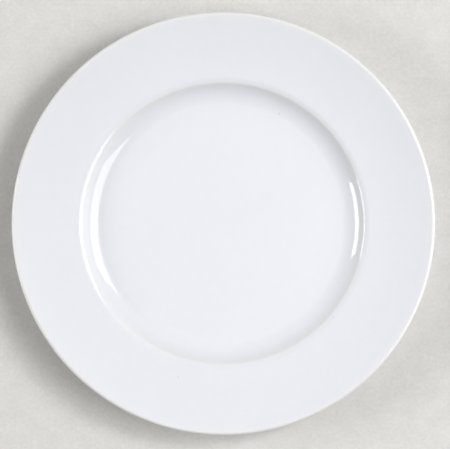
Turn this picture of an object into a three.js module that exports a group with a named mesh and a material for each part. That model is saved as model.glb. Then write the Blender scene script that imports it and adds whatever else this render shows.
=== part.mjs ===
// A round porcelain bread and butter plate, in millimetres, standing on z = 0 with +Z up.
// It is a solid of revolution: a fired clay body under two skins of glaze. The coat runs from the
// foot's outer side up the back, round the lip and over the face. The base glaze lies inside the
// foot. The edge that the plate stands on is wiped bare, so the two skins never meet.
import * as THREE from "three";

// Overall width, over the glaze
const PLATE_DIAMETER = 160;

// Well: a flat floor, a cove that steepens out of it, and a soft shoulder where the rim starts
const WELL_DIAMETER = 108;
const WELL_DEPTH = 4.7;
const WALL_ANGLE = 44.5;
const COVE_RADIUS = 12.3;
const SHOULDER_RADIUS = 4;

// Rim: nearly flat by the shoulder, then swept up to a lip that is rounded most on its underside
const RIM_INNER_SLOPE = 6;
const RIM_OUTER_SLOPE = 16;
const RIM_SWEEP_RADIUS = 130;
const LIP_THICKNESS = 2.4;
const LIP_TOP_RADIUS = 0.6;
const LIP_BOTTOM_RADIUS = 1.4;

// Back: a straight underside to the rim, then a flank that runs in under the cove to the foot
const FLOOR_THICKNESS = 3.2;
const FLANK_OVERHANG = 2.1;
const FLANK_TOP_RADIUS = 7;

// Foot ring: two drafted sides and a narrow flat edge, set in from the shoulder
const FOOT_INSET = 5.8;
const FOOT_HEIGHT = 1.7;
const FOOT_WIDTH = 3;
const FOOT_DRAFT = 22;
const FOOT_ROOT_RADIUS = 1.4;
const FOOT_EDGE_RADIUS = 0.7;
const BASE_RECESS = 1.9;

// Glaze, and how high above the standing edge it has been wiped away
const GLAZE_THICKNESS = 0.2;
const DRY_HEIGHT = 0.9;

// Facets: steps in a full turn, how far an arc may bulge past its chords, and how close two
// points lie that count as one
const TURN_STEPS = 64;
const ARC_SAG = 0.04;
const SAME_PLACE = 1e-6;

// Finishes: bare clay on the standing edge, and a bright bluish-white glaze
const PORCELAIN = { color: 0xefebe2, roughness: 0.6, metalness: 0 };
const WHITE_GLAZE = { color: 0xeeeff4, roughness: 0.08, metalness: 0 };

// Every place below is a point of the half section: x is the radius, y is the height.
const point = (radius, height) => new THREE.Vector2(radius, height);
const slope = (degrees) => Math.tan(THREE.MathUtils.degToRad(degrees));
const turnedBy = (vector, angle) => vector.clone().rotateAround(point(0, 0), angle);

// Face of the plate
const floorHeight = BASE_RECESS + FLOOR_THICKNESS;
const floorCentre = point(0, floorHeight);
const shoulder = point(WELL_DIAMETER / 2, floorHeight + WELL_DEPTH);
const coveCorner = point(shoulder.x - WELL_DEPTH / slope(WALL_ANGLE), floorHeight);

// The rim bends half way between the shoulder and the edge of the clay.
const clayEdgeRadius = PLATE_DIAMETER / 2 - GLAZE_THICKNESS;
const rimBendRadius = (shoulder.x + clayEdgeRadius) / 2;
const rimRise = (rimBendRadius - shoulder.x) * slope(RIM_INNER_SLOPE);
const rimBend = point(rimBendRadius, shoulder.y + rimRise);

// The lip is a square end with two rounded corners. It leans out at the bottom, so the lower round
// is the widest place of the clay.
const rimOutward = turnedBy(point(1, 0), THREE.MathUtils.degToRad(RIM_OUTER_SLOPE));
const rimUpward = point(-rimOutward.y, rimOutward.x);
const lipBottomRadius = clayEdgeRadius - LIP_BOTTOM_RADIUS * (1 - rimOutward.x - rimOutward.y);
const bendToLip = (lipBottomRadius + LIP_THICKNESS * rimUpward.x - rimBend.x) / rimOutward.x;
const lipTop = rimBend.clone().addScaledVector(rimOutward, bendToLip);
const lipBottom = lipTop.clone().addScaledVector(rimUpward, -LIP_THICKNESS);

// The underside of the rim runs in from the lip, alongside the outer rim, to the top of the flank.
const flankTopRadius = shoulder.x + FLANK_OVERHANG;
const undersideDrop = (lipBottom.x - flankTopRadius) * slope(RIM_OUTER_SLOPE);
const flankTop = point(flankTopRadius, lipBottom.y - undersideDrop);

// The foot's sides lean apart going up, and the glaze on each stops at the dry height.
const footOuterRadius = shoulder.x - FOOT_INSET;
const footInnerRadius = footOuterRadius - FOOT_WIDTH;
const footOuterSide = (height) => point(footOuterRadius + height * slope(FOOT_DRAFT), height);
const footInnerSide = (height) => point(footInnerRadius - height * slope(FOOT_DRAFT), height);
const baseCentre = point(0, BASE_RECESS);

// The half section in three runs, from the middle of the base round to the middle of the floor.
// A corner gives its place and the radius that rounds it.
const baseRun = roundedRun([
  { at: baseCentre },
  { at: footInnerSide(BASE_RECESS), round: FOOT_ROOT_RADIUS },
  { at: footInnerSide(DRY_HEIGHT) },
]);
const dryRun = roundedRun([
  { at: footInnerSide(DRY_HEIGHT) },
  { at: footInnerSide(0), round: FOOT_EDGE_RADIUS },
  { at: footOuterSide(0), round: FOOT_EDGE_RADIUS },
  { at: footOuterSide(DRY_HEIGHT) },
]);
const coatRun = roundedRun([
  { at: footOuterSide(DRY_HEIGHT) },
  { at: footOuterSide(FOOT_HEIGHT), round: FOOT_ROOT_RADIUS },
  { at: flankTop, round: FLANK_TOP_RADIUS },
  { at: lipBottom, round: LIP_BOTTOM_RADIUS },
  { at: lipTop, round: LIP_TOP_RADIUS },
  { at: rimBend, round: RIM_SWEEP_RADIUS },
  { at: shoulder, round: SHOULDER_RADIUS },
  { at: coveCorner, round: COVE_RADIUS },
  { at: floorCentre },
]);

// Walks straight legs and rounded corners with the clay on the left hand and the air on the right.
// Each point has its place on the clay and the place above it, one glaze thickness out.
function roundedRun(corners) {
  const legs = corners.slice(1).map(({ at }, i) => at.clone().sub(corners[i].at));
  const turns = corners.map((_, i) => turnBetween(legs[i - 1], legs[i]));
  const tangents = corners.map(({ round = 0 }, i) => round * Math.tan(Math.abs(turns[i]) / 2));
  const run = { clay: [], glaze: [] };
  corners.forEach(({ at, round = 0 }, i) => {
    const share = Math.min(legShare(legs[i - 1], tangents, i - 1), legShare(legs[i], tangents, i));
    const radius = round * share;
    const heading = (legs[i - 1] ?? legs[i]).clone().normalize();
    const outward = point(heading.y, -heading.x);
    const start = at.clone().addScaledVector(heading, -tangents[i] * share);
    const reach = Math.sign(turns[i]) * radius;
    const centre = start.addScaledVector(outward, -reach);
    const chords = chordCount(radius, turns[i]);
    for (let chord = 0; chord <= chords; chord += 1) {
      const normal = turnedBy(outward, chord ? (turns[i] * chord) / chords : 0);
      const place = centre.clone().addScaledVector(normal, reach);
      if (run.clay.at(-1)?.distanceTo(place) < SAME_PLACE) continue;
      run.clay.push(place);
      run.glaze.push(place.clone().addScaledVector(normal, GLAZE_THICKNESS));
    }
  });
  return run;
}

// The angle from one leg to the next, positive to the left. A run's two ends have no turn.
function turnBetween(before, after) {
  return before && after ? Math.atan2(before.cross(after), before.dot(after)) : 0;
}

// Rounds that would overlap on a leg are both cut back to share its length.
function legShare(leg, tangents, i) {
  const wanted = leg ? tangents[i] + tangents[i + 1] : 0;
  return wanted ? Math.min(1, leg.length() / wanted) : 1;
}

// How many chords keep an arc within the sag.
function chordCount(radius, turn) {
  const chordTurn = 2 * Math.acos(1 - Math.min(1, ARC_SAG / radius));
  return radius ? Math.ceil(Math.abs(turn) / chordTurn) : 0;
}

// A solid turned from its half section, with its axis stood up along +Z.
function turned(name, section, finish) {
  const geometry = new THREE.LatheGeometry(section, TURN_STEPS).rotateX(Math.PI / 2);
  const mesh = new THREE.Mesh(geometry, new THREE.MeshStandardMaterial(finish));
  mesh.name = name;
  return mesh;
}

const claySection = [...baseRun.clay, ...dryRun.clay.slice(1), ...coatRun.clay.slice(1)];
const coatSection = [...coatRun.clay.toReversed(), ...coatRun.glaze];
const baseSection = [...baseRun.glaze, ...baseRun.clay.toReversed()];

const plate = new THREE.Group();
plate.add(turned("plate_body", claySection, PORCELAIN));
plate.add(turned("glaze_coat", coatSection, WHITE_GLAZE));
plate.add(turned("base_glaze", baseSection, WHITE_GLAZE));

export default plate;
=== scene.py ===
import math

import bmesh
import bpy
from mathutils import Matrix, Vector


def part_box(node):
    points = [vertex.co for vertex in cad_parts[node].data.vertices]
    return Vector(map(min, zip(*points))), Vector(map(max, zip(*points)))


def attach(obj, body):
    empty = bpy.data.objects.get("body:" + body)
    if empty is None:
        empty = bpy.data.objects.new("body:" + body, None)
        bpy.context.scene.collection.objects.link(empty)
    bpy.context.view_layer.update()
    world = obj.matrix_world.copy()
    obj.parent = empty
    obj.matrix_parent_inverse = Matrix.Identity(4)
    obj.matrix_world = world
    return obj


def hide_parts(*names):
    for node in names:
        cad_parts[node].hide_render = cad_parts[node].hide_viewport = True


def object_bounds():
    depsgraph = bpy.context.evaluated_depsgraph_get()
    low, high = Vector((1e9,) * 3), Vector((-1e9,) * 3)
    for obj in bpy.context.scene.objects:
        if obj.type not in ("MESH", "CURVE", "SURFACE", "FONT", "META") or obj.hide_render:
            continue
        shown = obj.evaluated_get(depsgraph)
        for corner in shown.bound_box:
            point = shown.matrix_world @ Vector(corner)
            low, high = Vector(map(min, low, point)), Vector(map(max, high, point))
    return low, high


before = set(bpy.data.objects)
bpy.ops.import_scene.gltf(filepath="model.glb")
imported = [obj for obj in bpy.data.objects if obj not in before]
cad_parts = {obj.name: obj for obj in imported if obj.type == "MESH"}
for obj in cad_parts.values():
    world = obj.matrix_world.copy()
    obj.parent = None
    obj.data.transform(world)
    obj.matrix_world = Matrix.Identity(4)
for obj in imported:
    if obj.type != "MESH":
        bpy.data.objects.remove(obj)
cad_low, cad_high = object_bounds()

# Porcelain body: one piece of white clay, turned against a profile on a wheel and fired hard.
# Glaze hides all of it but the edge of the foot ring, which is wiped bare so that it can't stick
# to the kiln shelf. There it is matt, a little warm in tone, and scuffed where it stands.
MM = 0.001
WELL_RADIUS = 54 * MM
WELL_DEPTH = 4.82 * MM
FLOOR_RADIUS = 43.5 * MM
EASE_SLOPE = math.radians(4)
EASE_RADIUS = 60 * MM
COVE_RADIUS = 10.6 * MM
WALL_ANGLE = math.radians(45.5)
SHOULDER_CUT = 0.5 * MM
SHOULDER_SLOPE = math.radians(24)
SHOULDER_INNER_RADIUS = 2.2 * MM
SHOULDER_OUTER_RADIUS = 6.6 * MM
RIM_INNER_SLOPE = math.radians(6)
RIM_OUTER_SLOPE = math.radians(16)
RIM_SWEEP_RADIUS = 130 * MM
LIP_THICKNESS = 2.4 * MM
LIP_TOP_RADIUS = 0.8 * MM
LIP_BOTTOM_RADIUS = 1.4 * MM
FLOOR_THICKNESS = 3.08 * MM
FLANK_OVERHANG = 2.1 * MM
FLANK_TOP_RADIUS = 7 * MM
FOOT_INSET = 5.8 * MM
FOOT_HEIGHT = 1.7 * MM
FOOT_WIDTH = 3 * MM
FOOT_DRAFT = math.radians(22)
FOOT_ROOT_RADIUS = 1.4 * MM
FOOT_EDGE_RADIUS = 0.7 * MM
DRY_HEIGHT = 0.9 * MM
FLAT_HOLD = 0.3 * MM
SPIN_STEPS = 144
ARC_STEP = math.radians(4)
ARC_STEPS_LEAST = 8
SAME_PLACE = 0.001 * MM

CLAY_COLOUR = (0.74, 0.70, 0.62, 1)
CLAY_PATCH = 2.5 * MM
CLAY_PATCH_DEPTH = 0.08
CLAY_ROUGHNESS_LOW = 0.6
CLAY_ROUGHNESS_HIGH = 0.95
CLAY_GRAIN = 0.12 * MM
CLAY_GRAIN_HEIGHT = 0.006 * MM
SCUFF_COLOUR = (0.33, 0.31, 0.28, 1)
SCUFF_HEIGHT = 0.25 * MM
SCUFF_PATCH = 1.2 * MM
SCUFF_STRENGTH = 0.6


def place(radius, height):
    """A point of the half section, which stands on the XZ plane."""
    return Vector((radius, 0, height))


base_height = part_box("base_glaze")[1].z
clay_edge_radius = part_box("plate_body")[1].x
floor_height = base_height + FLOOR_THICKNESS
shoulder = place(WELL_RADIUS, floor_height + WELL_DEPTH)

# The flat floor eases up on a wide round. The cove lies where that slope meets the wall, which comes
# down from the shoulder.
ease_rise = math.tan(EASE_SLOPE)
ease_corner = place(FLOOR_RADIUS, floor_height)
floor_end = FLOOR_RADIUS - EASE_RADIUS * math.tan(EASE_SLOPE / 2)
wall_rise = math.tan(WALL_ANGLE)
eased_depth = WELL_DEPTH - (WELL_RADIUS - FLOOR_RADIUS) * ease_rise
wall_width = eased_depth / (wall_rise - ease_rise)
cove_corner = shoulder - place(1, wall_rise) * wall_width

# The shoulder's corner is cut off by a short slope, which is rounded tightly where it leaves the wall
# and more widely where it runs out into the rim.
cut_rise = math.tan(SHOULDER_SLOPE)
rim_tilt = math.tan(RIM_INNER_SLOPE)
rim_cut = SHOULDER_CUT * (wall_rise - cut_rise) / (cut_rise - rim_tilt)
wall_top = shoulder - place(1, wall_rise) * SHOULDER_CUT
rim_start = shoulder + place(1, rim_tilt) * rim_cut

# The rim bends half way between the shoulder and the edge of the clay. The lip is a square end that
# leans out at the bottom, so its lower round is the widest place.
rim_bend_radius = (WELL_RADIUS + clay_edge_radius) / 2
rim_bend = place(rim_bend_radius, shoulder.z + (rim_bend_radius - WELL_RADIUS) * rim_tilt)
rim_out = place(math.cos(RIM_OUTER_SLOPE), math.sin(RIM_OUTER_SLOPE))
rim_up = place(-rim_out.z, rim_out.x)
lip_bottom_radius = clay_edge_radius - LIP_BOTTOM_RADIUS * (1 - rim_out.x - rim_out.z)
bend_to_lip = (lip_bottom_radius + LIP_THICKNESS * rim_up.x - rim_bend.x) / rim_out.x
lip_top = rim_bend + rim_out * bend_to_lip
lip_bottom = lip_top - rim_up * LIP_THICKNESS

# The underside runs in from the lip, alongside the outer rim, to the top of the flank. The foot ring
# stands a little inside the shoulder.
flank_top_radius = WELL_RADIUS + FLANK_OVERHANG
underside_drop = (lip_bottom.x - flank_top_radius) * math.tan(RIM_OUTER_SLOPE)
flank_top = place(flank_top_radius, lip_bottom.z - underside_drop)
foot_outer_radius = WELL_RADIUS - FOOT_INSET
foot_inner_radius = foot_outer_radius - FOOT_WIDTH


def foot_outside(height):
    """A point on the foot's outer side, which leans out going up."""
    return place(foot_outer_radius + height * math.tan(FOOT_DRAFT), height)


def foot_inside(height):
    """A point on the foot's inner side, which leans in going up."""
    return place(foot_inner_radius - height * math.tan(FOOT_DRAFT), height)


# Corners of the section as (place, radius of its round), from the middle of the base to the
# middle of the well. A corner with no round on a flat stretch keeps its smooth shading flat.
foot_root_turn = math.pi / 2 - FOOT_DRAFT
foot_root_start = foot_inside(base_height).x - FOOT_ROOT_RADIUS * math.tan(foot_root_turn / 2)
base_corners = [
    (place(0, base_height), 0),
    (place(foot_root_start - FLAT_HOLD, base_height), 0),
    (foot_inside(base_height), FOOT_ROOT_RADIUS),
    (foot_inside(DRY_HEIGHT), 0),
]
dry_corners = [
    (foot_inside(DRY_HEIGHT), 0),
    (foot_inside(0), FOOT_EDGE_RADIUS),
    (foot_outside(0), FOOT_EDGE_RADIUS),
    (foot_outside(DRY_HEIGHT), 0),
]
coat_corners = [
    (foot_outside(DRY_HEIGHT), 0),
    (foot_outside(FOOT_HEIGHT), FOOT_ROOT_RADIUS),
    (flank_top, FLANK_TOP_RADIUS),
    (lip_bottom, LIP_BOTTOM_RADIUS),
    (lip_top, LIP_TOP_RADIUS),
    (rim_bend, RIM_SWEEP_RADIUS),
    (rim_start, SHOULDER_OUTER_RADIUS),
    (wall_top, SHOULDER_INNER_RADIUS),
    (cove_corner, COVE_RADIUS),
    (ease_corner, EASE_RADIUS),
    (place(floor_end - FLAT_HOLD, floor_height), 0),
    (place(0, floor_height), 0),
]


def sweep(bm, vert, centre, angle, steps):
    """Draws an arc on from a vertex, to the left where the angle is positive, and gives its far end."""
    arc = bmesh.ops.spin(bm, geom=[vert], cent=centre, axis=(0, -1, 0), angle=angle, steps=steps)
    return next(item for item in arc["geom_last"] if isinstance(item, bmesh.types.BMVert))


def draw_run(bm, corners, lift=0.0):
    """Draws straight legs and rounded corners as a wire that lies `lift` outside the clay.

    Rounds that would overlap on a leg are cut back to share its length.
    """
    legs = [after[0] - before[0] for before, after in zip(corners, corners[1:])]
    turns = [math.atan2(a.x * b.z - a.z * b.x, a.dot(b)) for a, b in zip(legs, legs[1:])]
    turns = [0.0, *turns, 0.0]
    tangents = [radius * math.tan(abs(turn) / 2) for (_, radius), turn in zip(corners, turns)]
    wanted = [max(a + b, SAME_PLACE) for a, b in zip(tangents, tangents[1:])]
    fits = [min(1.0, leg.length / length) for leg, length in zip(legs, wanted)]
    wire = []
    for i, (corner, radius) in enumerate(corners):
        heading = legs[max(i - 1, 0)].normalized()
        outward = place(heading.z, -heading.x)
        fit = min(fits[max(i - 1, 0) : i + 1])
        start = corner - heading * tangents[i] * fit + outward * lift
        if wire:
            tip = bmesh.ops.extrude_vert_indiv(bm, verts=wire[-1:])["verts"][0]
            tip.co = start
        else:
            tip = bmesh.ops.create_vert(bm, co=start)["vert"][0]
        wire.append(tip)
        if radius and turns[i]:
            centre = start - outward * (lift + math.copysign(radius * fit, turns[i]))
            steps = max(ARC_STEPS_LEAST, math.ceil(abs(turns[i]) / ARC_STEP))
            wire.append(sweep(bm, tip, centre, turns[i], steps))
    return wire


def new_object(bm, name):
    """Makes an object of a finished bmesh, at the origin."""
    mesh = bpy.data.meshes.new(name)
    bm.to_mesh(mesh)
    bm.free()
    made = bpy.data.objects.new(name, mesh)
    bpy.context.scene.collection.objects.link(made)
    return made


def turned_piece(bm, name):
    """Turns the wires in bm once round the plate's axis and makes the closed shell an object."""
    bmesh.ops.spin(
        bm,
        geom=bm.verts[:] + bm.edges[:],
        cent=(0, 0, 0),
        axis=(0, 0, 1),
        angle=math.tau,
        steps=SPIN_STEPS,
        use_merge=True,
    )
    bmesh.ops.remove_doubles(bm, verts=bm.verts, dist=SAME_PLACE)
    bmesh.ops.recalc_face_normals(bm, faces=bm.faces)
    for face in bm.faces:
        face.smooth = True
    return new_object(bm, name)


clay_mesh = bmesh.new()
for run in (base_corners, dry_corners, coat_corners):
    draw_run(clay_mesh, run)
clay_body = turned_piece(clay_mesh, "clay_body")


def add_node(tree, kind, inputs=None, **settings):
    """Adds a shader node. Its inputs, by name or place, take a value or another node's output."""
    node = tree.nodes.new(f"ShaderNode{kind}")
    for name, value in settings.items():
        setattr(node, name, value)
    for key, value in (inputs or {}).items():
        if isinstance(value, bpy.types.NodeSocket):
            tree.links.new(value, node.inputs[key])
        else:
            node.inputs[key].default_value = value
    return node


def maths(tree, operation, *values):
    """Adds a Math node and gives its result."""
    return add_node(tree, "Math", dict(enumerate(values)), operation=operation).outputs[0]


def object_place(tree):
    """The place on the piece, in metres."""
    return add_node(tree, "TexCoord").outputs["Object"]


# Three effects that every surface here uses. Each is built on soft noise with patches of a real size.
NOISE_DETAIL = 3.0


def new_effect(name, inputs, output):
    """Starts a node group. Gives its tree, its inputs, its output and its noise from 0 to 1."""
    tree = bpy.data.node_groups.new(name, "ShaderNodeTree")
    for label in inputs:
        kind = "NodeSocketColor" if label == "Color" else "NodeSocketFloat"
        tree.interface.new_socket(label, in_out="INPUT", socket_type=kind)
    kind = "NodeSocketColor" if output == "Color" else "NodeSocketFloat"
    tree.interface.new_socket(output, in_out="OUTPUT", socket_type=kind)
    given = tree.nodes.new("NodeGroupInput").outputs
    result = tree.nodes.new("NodeGroupOutput").inputs[0]
    scale = maths(tree, "DIVIDE", 1.0, given["Patch Size"])
    grain = {"Vector": object_place(tree), "Scale": scale, "Detail": NOISE_DETAIL}
    return tree, given, result, add_node(tree, "TexNoise", grain).outputs["Fac"]


# Uneven tone: a colour that drifts lighter and darker by a share of itself.
uneven_tone, given, result, noise = new_effect("uneven_tone", ("Color", "Patch Size", "Depth"), "Color")
drift = maths(uneven_tone, "SUBTRACT", maths(uneven_tone, "MULTIPLY", noise, 2.0), 1.0)
shade = maths(uneven_tone, "MULTIPLY_ADD", drift, given["Depth"], 1.0)
toned = add_node(uneven_tone, "VectorMath", {0: given["Color"], "Scale": shade}, operation="SCALE")
uneven_tone.links.new(toned.outputs["Vector"], result)

# Patchy value: a number that wanders between two others, for roughness and for marks.
patchy_value, given, result, noise = new_effect("patchy_value", ("Low", "High", "Patch Size"), "Value")
between = {"Value": noise, "To Min": given["Low"], "To Max": given["High"]}
wandering = add_node(patchy_value, "MapRange", between)
patchy_value.links.new(wandering.outputs["Result"], result)

# Fine relief: bumps of a given height.
fine_relief, given, result, noise = new_effect("fine_relief", ("Patch Size", "Bump Height"), "Height")
fine_relief.links.new(maths(fine_relief, "MULTIPLY", noise, given["Bump Height"]), result)


def effect(tree, group, **inputs):
    """Places an effect in a material with its own values, and gives its result."""
    values = {name.replace("_", " ").title(): value for name, value in inputs.items()}
    return add_node(tree, "Group", values, node_tree=group).outputs[0]


def blend(tree, factor, under, over):
    """Mixes two colours, the second by the factor."""
    mix = add_node(tree, "Mix", data_type="RGBA")
    sockets = {socket.identifier: socket for socket in mix.inputs}
    tree.links.new(factor, sockets["Factor_Float"])
    tree.links.new(under, sockets["A_Color"])
    sockets["B_Color"].default_value = over
    return next(socket for socket in mix.outputs if socket.identifier == "Result_Color")


def new_material(name):
    """A material, with its node tree."""
    material = bpy.data.materials.new(name)
    material.use_nodes = True
    return material, material.node_tree


def join_shader(tree, colour, roughness, height):
    """Joins a surface's colour, roughness and height in metres to its shader."""
    shader = tree.nodes["Principled BSDF"].inputs
    bump = add_node(tree, "Bump", {"Distance": 1.0, "Height": height})
    tree.links.new(colour, shader["Base Color"])
    tree.links.new(roughness, shader["Roughness"])
    tree.links.new(bump.outputs["Normal"], shader["Normal"])
    return shader


clay, tree = new_material("bare_porcelain")
clay_tone = effect(tree, uneven_tone, color=CLAY_COLOUR, patch_size=CLAY_PATCH, depth=CLAY_PATCH_DEPTH)
clay_height = add_node(tree, "SeparateXYZ", {0: object_place(tree)}).outputs["Z"]
ground = {"Value": clay_height, "From Max": SCUFF_HEIGHT, "To Min": SCUFF_STRENGTH, "To Max": 0.0}
near_ground = add_node(tree, "MapRange", ground).outputs["Result"]
marks = effect(tree, patchy_value, low=0.0, high=1.0, patch_size=SCUFF_PATCH)
scuffed = blend(tree, maths(tree, "MULTIPLY", near_ground, marks), clay_tone, SCUFF_COLOUR)
clay_roughness = effect(
    tree, patchy_value, low=CLAY_ROUGHNESS_LOW, high=CLAY_ROUGHNESS_HIGH, patch_size=CLAY_PATCH
)
clay_grain = effect(tree, fine_relief, patch_size=CLAY_GRAIN, bump_height=CLAY_GRAIN_HEIGHT)
join_shader(tree, scuffed, clay_roughness, clay_grain)
clay_body.data.materials.append(clay)
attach(clay_body, "root")
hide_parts("plate_body")

# Glaze coat: glass melted over the clay in the last firing, in one skin from the foot's outer side
# up the back, round the lip and over the face. It is bluish white and very glossy, with painted shade
# as a slightly darker ring at the foot of the cove, and paler and less blue where it ran thin over the
# shoulder and the lip.
GLAZE_THICKNESS = 0.2 * MM
GLAZE_ROLL_STEPS = 5
EVEN_GLAZE = (0.836, 0.845, 0.888, 1)
# Painted shade: a darker tone of the glaze, laid in a ring at the foot of the cove.
COVE_SHADE_GLAZE = (0.820, 0.829, 0.871, 1)
THIN_GLAZE = (0.855, 0.857, 0.879, 1)
LIP_GLAZE = (0.880, 0.868, 0.838, 1)
GLAZE_IOR = 1.52
GLAZE_CLOUD = 24 * MM
GLAZE_CLOUD_DEPTH = 0.015
GLAZE_MOTTLE = 3 * MM
GLAZE_MOTTLE_DEPTH = 0.012
GLAZE_ROUGHNESS_LOW = 0.035
GLAZE_ROUGHNESS_HIGH = 0.085
GLAZE_WAVE = 14 * MM
GLAZE_WAVE_HEIGHT = 0.006 * MM
GLAZE_RIPPLE = 2.2 * MM
GLAZE_RIPPLE_HEIGHT = 0.0005 * MM
SPECKS = ((21.3 * MM, 41.8 * MM), (41.7 * MM, -35.3 * MM), (-17.1 * MM, -58.2 * MM))
SPECK_RADIUS = 0.4 * MM
SPECK_COLOUR = (0.62, 0.61, 0.60, 1)


def glaze_skin(corners, name):
    """A closed skin on the clay, with a rolled edge where the glaze stops."""
    bm = bmesh.new()
    outside = draw_run(bm, corners, GLAZE_THICKNESS)
    inside = draw_run(bm, corners)
    for end, turn in ((0, -math.pi / 2), (-1, math.pi / 2)):
        if inside[end].co.x > SAME_PLACE:
            roll_end = sweep(bm, outside[end], inside[end].co, turn, GLAZE_ROLL_STEPS)
            bm.edges.new((roll_end, inside[end]))
    return turned_piece(bm, name)


glaze_coat = glaze_skin(coat_corners, "face_and_back_glaze")

# The glaze's colour changes with the distance from the plate's axis.
plate_radius = clay_edge_radius + GLAZE_THICKNESS
glaze_by_radius = (
    (FLOOR_RADIUS - 7.5 * MM, EVEN_GLAZE),
    # Painted shade: the glaze turns darker towards the foot of the cove.
    (FLOOR_RADIUS, COVE_SHADE_GLAZE),
    (WELL_RADIUS - 6 * MM, EVEN_GLAZE),
    (WELL_RADIUS - 3 * MM, EVEN_GLAZE),
    (WELL_RADIUS - 1.7 * MM, THIN_GLAZE),
    (WELL_RADIUS - 0.5 * MM, THIN_GLAZE),
    (WELL_RADIUS + 0.6 * MM, EVEN_GLAZE),
    (plate_radius - 3.6 * MM, EVEN_GLAZE),
    (plate_radius - 1.2 * MM, THIN_GLAZE),
    (plate_radius, LIP_GLAZE),
)
glaze, tree = new_material("white_glaze")
flattened = {0: object_place(tree), 1: (1, 1, 0)}
over_plate = add_node(tree, "VectorMath", flattened, operation="MULTIPLY").outputs["Vector"]
from_axis = add_node(tree, "VectorMath", {0: over_plate}, operation="LENGTH").outputs["Value"]
ramp = add_node(tree, "ValToRGB", {0: maths(tree, "DIVIDE", from_axis, plate_radius)})
stops = ramp.color_ramp.elements
for number, (radius, colour) in enumerate(glaze_by_radius):
    stop = stops[number] if number < len(stops) else stops.new(radius / plate_radius)
    stop.position = radius / plate_radius
    stop.color = colour
ringed = ramp.outputs["Color"]
clouded = effect(tree, uneven_tone, color=ringed, patch_size=GLAZE_CLOUD, depth=GLAZE_CLOUD_DEPTH)
glaze_tone = effect(tree, uneven_tone, color=clouded, patch_size=GLAZE_MOTTLE, depth=GLAZE_MOTTLE_DEPTH)

# Faint specks that came up through the glaze on the face.
normal = add_node(tree, "TexCoord").outputs["Normal"]
upward = add_node(tree, "SeparateXYZ", {0: normal}).outputs["Z"]
on_face = maths(tree, "GREATER_THAN", upward, 0.0)
for x, y in SPECKS:
    apart = {0: over_plate, 1: (x, y, 0)}
    away = add_node(tree, "VectorMath", apart, operation="DISTANCE").outputs["Value"]
    spread = {"Value": away, "From Max": SPECK_RADIUS, "To Min": 1.0, "To Max": 0.0}
    fade = add_node(tree, "MapRange", spread).outputs["Result"]
    glaze_tone = blend(tree, maths(tree, "MULTIPLY", fade, on_face), glaze_tone, SPECK_COLOUR)

glaze_roughness = effect(
    tree, patchy_value, low=GLAZE_ROUGHNESS_LOW, high=GLAZE_ROUGHNESS_HIGH, patch_size=GLAZE_WAVE
)
wave = effect(tree, fine_relief, patch_size=GLAZE_WAVE, bump_height=GLAZE_WAVE_HEIGHT)
ripple = effect(tree, fine_relief, patch_size=GLAZE_RIPPLE, bump_height=GLAZE_RIPPLE_HEIGHT)
glaze_shader = join_shader(tree, glaze_tone, glaze_roughness, maths(tree, "ADD", wave, ripple))
glaze_shader["IOR"].default_value = GLAZE_IOR
glaze_coat.data.materials.append(glaze)
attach(glaze_coat, "root")
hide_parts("glaze_coat")

# Base glaze: the same glaze inside the foot ring, melted in the same firing. The bare edge of the
# foot cuts it off from the coat.
base_skin = glaze_skin(base_corners, "foot_well_glaze")
base_skin.data.materials.append(glaze)
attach(base_skin, "root")
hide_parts("base_glaze")

# Floor: a plain sheet of pale, slightly warm card that the plate stands on. It is matt, with a fine
# fibre and a faint cloudiness.
CARD_HALF_WIDTH = 3.0
CARD_COLOUR = (0.72, 0.71, 0.681, 1)
CARD_CLOUD = 7 * MM
CARD_CLOUD_DEPTH = 0.07
CARD_ROUGHNESS_LOW = 0.85
CARD_ROUGHNESS_HIGH = 0.95
CARD_FIBRE = 1.3 * MM
CARD_FIBRE_DEPTH = 0.1
CARD_FIBRE_HEIGHT = 0.02 * MM

card_mesh = bmesh.new()
bmesh.ops.create_grid(card_mesh, x_segments=1, y_segments=1, size=CARD_HALF_WIDTH)
floor = new_object(card_mesh, "floor")
card, tree = new_material("pale_card")
clouded = effect(tree, uneven_tone, color=CARD_COLOUR, patch_size=CARD_CLOUD, depth=CARD_CLOUD_DEPTH)
card_tone = effect(tree, uneven_tone, color=clouded, patch_size=CARD_FIBRE, depth=CARD_FIBRE_DEPTH)
card_roughness = effect(
    tree, patchy_value, low=CARD_ROUGHNESS_LOW, high=CARD_ROUGHNESS_HIGH, patch_size=CARD_CLOUD
)
card_fibre = effect(tree, fine_relief, patch_size=CARD_FIBRE, bump_height=CARD_FIBRE_HEIGHT)
join_shader(tree, card_tone, card_roughness, card_fibre)
floor.data.materials.append(card)

# Studio light: a large soft box on the right with a brighter core, a smaller soft box low on the
# left, and dim surroundings that glow round the large box, towards the back on the left, overhead and
# low on the right.
BOX_DISTANCE = 1.0
ROOM_LEVEL = 0.034
ROOM_SLANT = (-0.044, 0.03, 0)


def toward(polar, azimuth):
    """The direction that lies `polar` degrees from straight up and `azimuth` degrees round from +X."""
    level = math.sin(math.radians(polar))
    turn = math.radians(azimuth)
    return Vector((level * math.cos(turn), level * math.sin(turn), math.cos(math.radians(polar))))


def soft_box(name, polar, azimuth, width, height, radiance):
    """An evenly bright panel that faces the plate."""
    light = bpy.data.lights.new(name, "AREA")
    light.shape = "RECTANGLE"
    light.size = width
    light.size_y = height
    light.energy = radiance * math.pi * width * height
    lamp = bpy.data.objects.new(name, light)
    lamp.location = toward(polar, azimuth) * BOX_DISTANCE
    lamp.rotation_mode = "QUATERNION"
    lamp.rotation_quaternion = (-lamp.location).to_track_quat("-Z", "Y")
    lamp.visible_camera = False
    bpy.context.scene.collection.objects.link(lamp)


soft_box("key_box", polar=43.5, azimuth=-4.4, width=0.78, height=0.64, radiance=3.73)
soft_box("key_core", polar=44, azimuth=18, width=0.22, height=0.26, radiance=12.2)
soft_box("fill_box", polar=63.5, azimuth=182, width=0.5, height=0.31, radiance=9)

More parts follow.
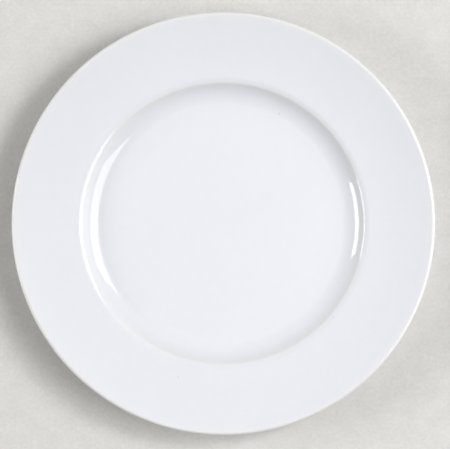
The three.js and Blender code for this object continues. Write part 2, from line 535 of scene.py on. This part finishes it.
world = bpy.data.worlds.new("surroundings")
world.use_nodes = True
room = world.node_tree
room_direction = add_node(room, "TexCoord").outputs["Generated"]


def facing(direction):
    """How far the light's direction points along the given one."""
    pair = {0: room_direction, 1: direction}
    return add_node(room, "VectorMath", pair, operation="DOT_PRODUCT").outputs["Value"]


def glow(polar, azimuth, power, radiance):
    """A soft round glow, which is smaller with a higher power."""
    near = maths(room, "MAXIMUM", facing(toward(polar, azimuth)), 0.0)
    return maths(room, "MULTIPLY", maths(room, "POWER", near, power), radiance)


slanted_light = maths(room, "ADD", facing(ROOM_SLANT), ROOM_LEVEL)
room_light = maths(room, "MAXIMUM", slanted_light, 0.0)
for shine in (
    glow(polar=45, azimuth=20, power=11, radiance=1.58),
    glow(polar=67, azimuth=155, power=8, radiance=0.79),
    glow(polar=0, azimuth=0, power=60, radiance=0.8),
    glow(polar=86, azimuth=0, power=14, radiance=0.58),
):
    room_light = maths(room, "ADD", room_light, shine)
background = room.nodes["Background"].inputs
background["Color"].default_value = (1, 1, 1, 1)
room.links.new(room_light, background["Strength"])
bpy.context.scene.world = world
bpy.context.scene.view_settings.view_transform = "Standard"

# Camera: straight above the plate, far enough off to look almost without perspective. Its height and
# place put the edge of the plate on the same circle of pixels as in the photograph.
PHOTO_WIDTH = 450
PHOTO_HEIGHT = 449
PLATE_PIXEL_X = 223.4
PLATE_PIXEL_Y = 223.5
PLATE_PIXEL_RADIUS = 211.6
LENS_LENGTH = 200

camera_data = bpy.data.cameras.new("camera")
camera_data.lens = LENS_LENGTH
camera = bpy.data.objects.new("camera", camera_data)
metres_per_pixel = cad_high.x / PLATE_PIXEL_RADIUS
camera_height = PHOTO_WIDTH * metres_per_pixel * LENS_LENGTH / camera_data.sensor_width
camera.location = (
    (PHOTO_WIDTH / 2 - PLATE_PIXEL_X) * metres_per_pixel,
    (PLATE_PIXEL_Y - PHOTO_HEIGHT / 2) * metres_per_pixel,
    lip_bottom.z + camera_height,
)
bpy.context.scene.collection.objects.link(camera)
bpy.context.scene.camera = camera
